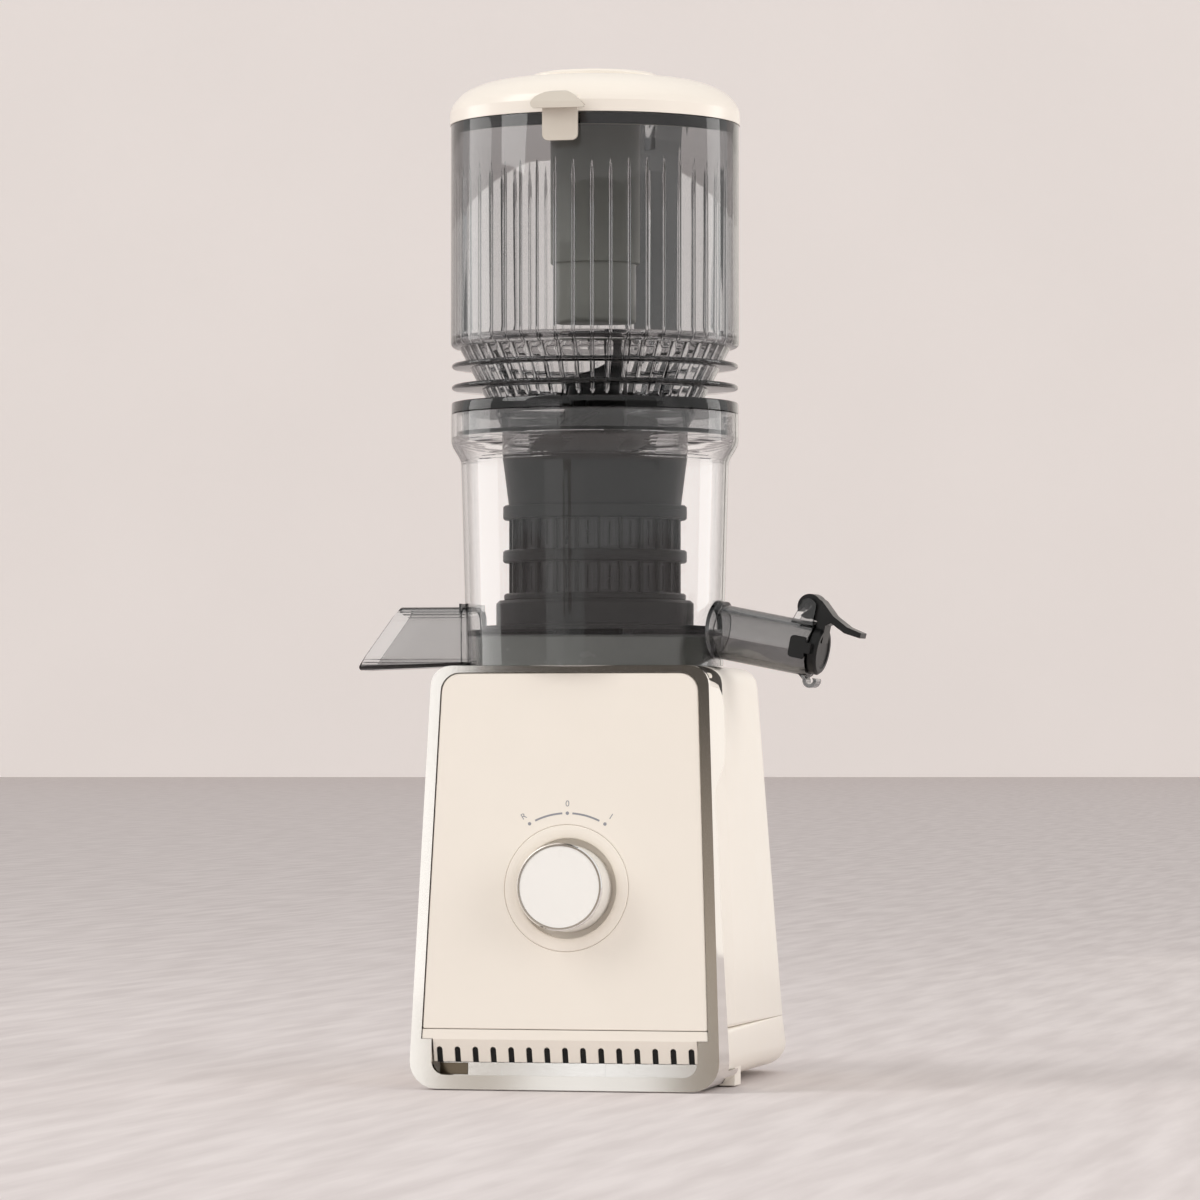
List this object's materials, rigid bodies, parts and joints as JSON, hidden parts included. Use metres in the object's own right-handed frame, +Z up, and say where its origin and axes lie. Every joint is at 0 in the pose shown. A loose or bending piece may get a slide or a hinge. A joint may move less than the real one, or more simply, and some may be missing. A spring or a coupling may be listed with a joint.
{
  "type": "cold press juicer",
  "caption": "Cold press juicer with a tall clear hopper and bowl over a slow auger, juice spout, pulp chute, hinged lid with pusher, and a geared base with a dial.",
  "frame": {"origin": "on the auger's axis, at the floor; the underside mount is 2.5 mm above it", "axes": "+Z up along the auger's axis, the dial faces -Y, the juice spout points to +X"},
  "size_m": [0.258, 0.2254, 0.5045],
  "materials": {
    "cream_plastic": "satin",
    "champagne_metal": "polished champagne plating",
    "smoke_clear": "clear, smoke tinted",
    "warm_grey_plastic": "satin",
    "grey_plastic": "satin",
    "dark_plastic": "satin",
    "black_plastic": "gloss",
    "nylon_gear": "satin",
    "board_green": "satin",
    "dark_rubber": "matte",
    "bright_steel": "polished",
    "mild_steel": "machined",
    "strainer_steel": "perforated sheet",
    "bronze_bush": "machined",
    "copper_winding": "enamelled wire"
  },
  "bodies": {
    "base": {"rear_housing": "cream_plastic", "front_housing": "cream_plastic", "front_panel": "cream_plastic", "trim_frame": "champagne_metal", "vent_chin": "cream_plastic", "base_pan": "cream_plastic", "plinth_strip": "bright_steel", "rubber_feet": "dark_rubber", "dial_bezel": "cream_plastic", "rotary_switch": "dark_plastic", "bowl_seat": "cream_plastic", "output_bushes": "bronze_bush", "output_seal": "dark_rubber", "upper_gear_plate": "mild_steel", "lower_gear_plate": "mild_steel", "plate_pillars": "mild_steel", "thin_bushes": "bronze_bush", "motor_stator": "mild_steel", "motor_windings": "copper_winding", "motor_brackets": "grey_plastic", "circuit_board": "board_green", "board_screws": "bright_steel", "cord_gland": "dark_plastic"},
    "dial": {"knob_body": "cream_plastic", "knob_ring": "bright_steel", "knob_face": "cream_plastic", "switch_stem": "mild_steel"},
    "motor_shaft": {"motor_rotor": "mild_steel", "motor_pinion": "bronze_bush", "cooling_fan": "dark_plastic"},
    "layshaft_gears": {"layshaft": "mild_steel", "lay_gear": "nylon_gear", "lay_pinion": "mild_steel"},
    "output_drive": {"drive_shaft": "mild_steel", "drive_gear": "mild_steel"},
    "juicing_bowl": {"juice_bowl": "smoke_clear", "pulp_chute": "smoke_clear", "juice_spout": "smoke_clear", "spout_pin": "smoke_clear", "hub_seal": "dark_rubber", "strainer_base": "dark_plastic", "strainer_frame": "dark_plastic", "strainer_mesh": "strainer_steel"},
    "screw": {"auger": "dark_plastic", "auger_cutter": "dark_plastic"},
    "cap": {"spout_cap": "black_plastic", "cap_seal": "dark_rubber"},
    "hopper_unit": {"hopper": "smoke_clear", "hopper_cone": "smoke_clear", "hopper_seal": "dark_rubber", "hinge_pin": "bright_steel"},
    "lid_unit": {"lid": "cream_plastic", "feed_tube": "warm_grey_plastic", "lid_seal": "dark_rubber", "latch_pin": "bright_steel"},
    "latch": {"lid_latch": "warm_grey_plastic"},
    "pusher": {"pusher_body": "cream_plastic", "pusher_tip": "warm_grey_plastic"}
  },
  "joints": [
    {"name": "dial_turn", "type": "hinge", "parent": "base", "child": "dial", "pos_m": [0, -0.06537, 0.099], "axis": [0, -0.998, 0.0638], "range_deg": [-30, 30]},
    {"name": "motor_spin", "type": "hinge", "parent": "base", "child": "motor_shaft", "pos_m": [0, 0.066, 0.1], "axis": [0, 0, 1], "continuous": true},
    {"name": "layshaft_spin", "type": "hinge", "parent": "base", "child": "layshaft_gears", "pos_m": [0.02485, 0.03752, 0.17], "axis": [0, 0, 1], "continuous": true},
    {"name": "output_spin", "type": "hinge", "parent": "base", "child": "output_drive", "pos_m": [0, 0, 0.2], "axis": [0, 0, 1], "continuous": true},
    {"name": "bowl_lift", "type": "slide", "parent": "base", "child": "juicing_bowl", "axis": [0, 0, 1], "range_m": [0, 0.06]},
    {"name": "screw_spin", "type": "hinge", "parent": "juicing_bowl", "child": "screw", "pos_m": [0, 0, 0.28], "axis": [0, 0, 1], "continuous": true},
    {"name": "cap_swing", "type": "hinge", "parent": "juicing_bowl", "child": "cap", "pos_m": [0.11306, -0.01388, 0.23729], "axis": [-0.1219, -0.9925, 0], "range_deg": [0, 95]},
    {"name": "hopper_twist", "type": "hinge", "parent": "juicing_bowl", "child": "hopper_unit", "pos_m": [0, 0, 0.33], "axis": [0, 0, 1], "range_deg": [0, 35]},
    {"name": "lid_swing", "type": "hinge", "parent": "hopper_unit", "child": "lid_unit", "pos_m": [0, 0.0785, 0.482], "axis": [-1, 0, 0], "range_deg": [0, 100]},
    {"name": "latch_swing", "type": "hinge", "parent": "lid_unit", "child": "latch", "pos_m": [0, -0.0756, 0.484], "axis": [-1, 0, 0], "range_deg": [0, 20], "stiffness_Nm_per_rad": 0.05, "springref_deg": -11.46},
    {"name": "pusher_slide", "type": "slide", "parent": "lid_unit", "child": "pusher", "axis": [0, 0, 1], "range_m": [0, 0.1]}
  ],
  "couplings": [
    {"joint": "layshaft_spin", "follows": "motor_spin", "ratio": -0.2},
    {"joint": "output_spin", "follows": "motor_spin", "ratio": 0.04},
    {"joint": "screw_spin", "follows": "motor_spin", "ratio": 0.04}
  ]
}
